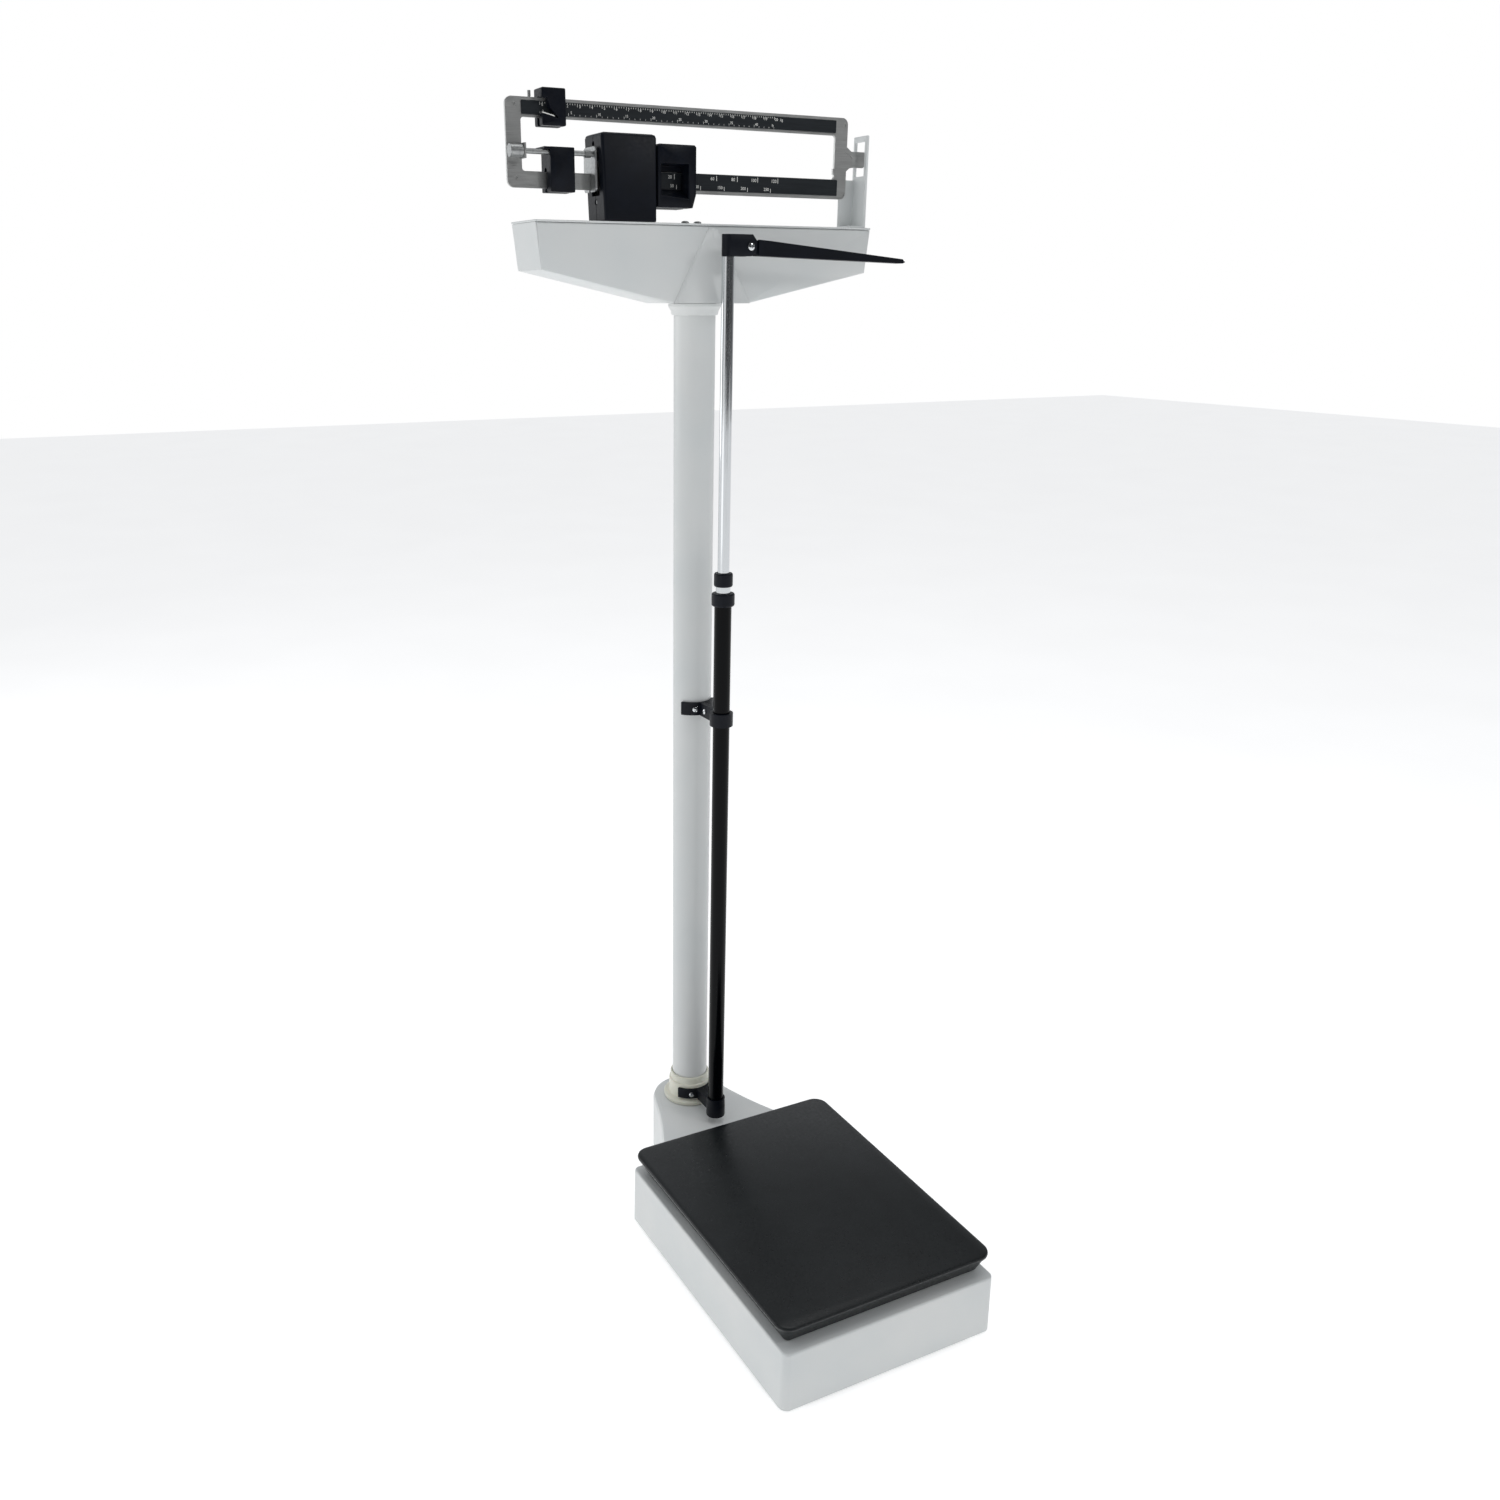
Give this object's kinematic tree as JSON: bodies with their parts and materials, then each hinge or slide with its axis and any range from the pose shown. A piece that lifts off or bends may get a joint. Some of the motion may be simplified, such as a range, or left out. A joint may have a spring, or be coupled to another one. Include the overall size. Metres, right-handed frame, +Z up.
{
  "type": "physician beam scale",
  "caption": "Mechanical beam scale with platform, column, double beam with sliding weights, hidden lever train and telescopic height rod with folding head arm.",
  "frame": {"origin": "on the floor, under the middle of the outline of the whole scale", "axes": "+Z up, +X along the beam to its tip, -Y towards the person who stands on the platform"},
  "size_m": [0.4468, 0.5326, 1.3094],
  "materials": {
    "white_paint": "smooth semi-gloss powder coat",
    "cream_plastic": "semi-gloss moulded plastic",
    "black_plastic": "satin moulded plastic",
    "black_weight": "satin black enamel on cast metal",
    "black_enamel": "glossy black enamel",
    "black_tube": "glossy black paint on steel tube",
    "rubber": "plain black rubber",
    "stainless": "satin stainless sheet",
    "chrome": "polished chrome",
    "steel": "plain turned and pressed steel",
    "cast_iron": "grey painted casting",
    "label_black": "black anodised aluminium strip with printed marks",
    "mark_white": "white paint"
  },
  "bodies": {
    "stand": {"base_shell": "white_paint", "foot_front_left": "rubber", "foot_front_right": "rubber", "foot_rear_left": "rubber", "foot_rear_right": "rubber", "front_fulcrum_bar": "steel", "rear_fulcrum_bar": "steel", "column_tube": "white_paint", "column_collar": "cream_plastic", "column_ring": "white_paint", "housing_shell": "white_paint", "housing_lid": "white_paint", "lid_screw_left": "steel", "lid_screw_right": "steel", "trig_loop": "white_paint", "lever_hanger": "steel", "fulcrum_stand": "cast_iron", "cover_front": "black_plastic", "cover_rear": "black_plastic", "cover_screw_upper": "steel", "cover_screw_lower": "steel", "middle_bracket": "black_plastic", "middle_bracket_screw": "chrome", "clamp_bolt": "chrome", "foot_bracket": "black_plastic", "foot_bracket_screw": "chrome", "outer_tube": "black_tube", "outer_tube_collar": "black_plastic"},
    "beam": {"beam_frame": "stainless", "upper_label": "label_black", "lower_label": "label_black", "fulcrum_knife": "steel", "load_knife": "steel", "stop_pin": "steel", "adjuster_bracket": "steel"},
    "large_poise": {"large_poise": "black_weight", "large_poise_pointer": "mark_white"},
    "small_poise": {"small_poise": "black_weight", "small_poise_pointer": "mark_white"},
    "adjuster": {"adjuster_screw": "steel"},
    "zero_weight": {"zero_block": "black_weight"},
    "beam_link": {"beam_link": "steel"},
    "head_lever": {"head_lever": "cast_iron"},
    "draft_rod": {"draft_rod": "steel"},
    "long_lever": {"long_lever": "cast_iron"},
    "short_lever": {"short_lever": "cast_iron"},
    "lever_link": {"lever_link": "steel"},
    "platform": {"platform_cover": "black_enamel", "platform_frame": "steel"},
    "middle_tube": {"middle_tube": "chrome", "middle_tube_collar": "black_plastic"},
    "inner_rod": {"inner_rod": "chrome"},
    "head_clip": {"head_clip": "black_plastic", "clip_screw": "chrome"},
    "head_arm": {"head_arm": "black_plastic"}
  },
  "joints": [
    {"name": "beam_tilt", "type": "hinge", "parent": "stand", "child": "beam", "pos_m": [-0.094, 0.1978, 1.226], "axis": [0, 1, 0], "range_deg": [-1.5, 1.5]},
    {"name": "beam_link_lift", "type": "slide", "parent": "stand", "child": "beam_link", "axis": [0, 0, 1], "range_m": [-0.0008, 0.0008]},
    {"name": "head_lever_tilt", "type": "hinge", "parent": "stand", "child": "head_lever", "pos_m": [0.095, 0.1978, 1.1665], "axis": [0, 1, 0], "range_deg": [-0.2, 0.2]},
    {"name": "draft_rod_lift", "type": "slide", "parent": "stand", "child": "draft_rod", "axis": [0, 0, 1], "range_m": [-0.00035, 0.00035]},
    {"name": "long_lever_tilt", "type": "hinge", "parent": "stand", "child": "long_lever", "pos_m": [0, -0.2387, 0.06], "axis": [1, 0, 0], "range_deg": [-0.05, 0.05]},
    {"name": "lever_link_lift", "type": "slide", "parent": "stand", "child": "lever_link", "axis": [0, 0, 1], "range_m": [-0.00015, 0.00015]},
    {"name": "short_lever_tilt", "type": "hinge", "parent": "stand", "child": "short_lever", "pos_m": [0, 0.0813, 0.036], "axis": [1, 0, 0], "range_deg": [-0.05, 0.05]},
    {"name": "platform_travel", "type": "slide", "parent": "stand", "child": "platform", "axis": [0, 0, 1], "range_m": [-0.00003, 0.00003]},
    {"name": "large_poise_slide", "type": "slide", "parent": "beam", "child": "large_poise", "axis": [1, 0, 0], "range_m": [0, 0.153]},
    {"name": "small_poise_slide", "type": "slide", "parent": "beam", "child": "small_poise", "axis": [1, 0, 0], "range_m": [0, 0.27]},
    {"name": "adjuster_turn", "type": "hinge", "parent": "beam", "child": "adjuster", "pos_m": [-0.19, 0.1893, 1.252], "axis": [1, 0, 0], "range_deg": [-3650, 3650]},
    {"name": "zero_weight_slide", "type": "slide", "parent": "beam", "child": "zero_weight", "axis": [1, 0, 0], "range_m": [-0.01, 0.01]},
    {"name": "middle_tube_slide", "type": "slide", "parent": "stand", "child": "middle_tube", "axis": [0, 0, 1], "range_m": [0, 0.6]},
    {"name": "inner_rod_slide", "type": "slide", "parent": "middle_tube", "child": "inner_rod", "axis": [0, 0, 1], "range_m": [-0.33, 0.24]},
    {"name": "head_swivel", "type": "hinge", "parent": "inner_rod", "child": "head_clip", "pos_m": [0, 0.1416, 1.1665], "axis": [0, 0, 1], "range_deg": [-180, 0]},
    {"name": "arm_fold", "type": "hinge", "parent": "head_clip", "child": "head_arm", "pos_m": [0.0234, 0.1416, 1.166], "axis": [0, 1, 0], "range_deg": [0, 90]}
  ],
  "couplings": [
    {"joint": "beam_link_lift", "follows": "beam_tilt", "m_per_rad": 0.025},
    {"joint": "head_lever_tilt", "follows": "beam_tilt", "ratio": 0.11682},
    {"joint": "draft_rod_lift", "follows": "beam_tilt", "m_per_rad": 0.011098},
    {"joint": "long_lever_tilt", "follows": "beam_tilt", "ratio": 0.025166},
    {"joint": "lever_link_lift", "follows": "beam_tilt", "m_per_rad": 0.004027},
    {"joint": "short_lever_tilt", "follows": "beam_tilt", "ratio": -0.025166},
    {"joint": "platform_travel", "follows": "beam_tilt", "m_per_rad": 0.000755},
    {"joint": "adjuster_turn", "follows": "zero_weight_slide", "rad_per_m": 6283.2}
  ]
}
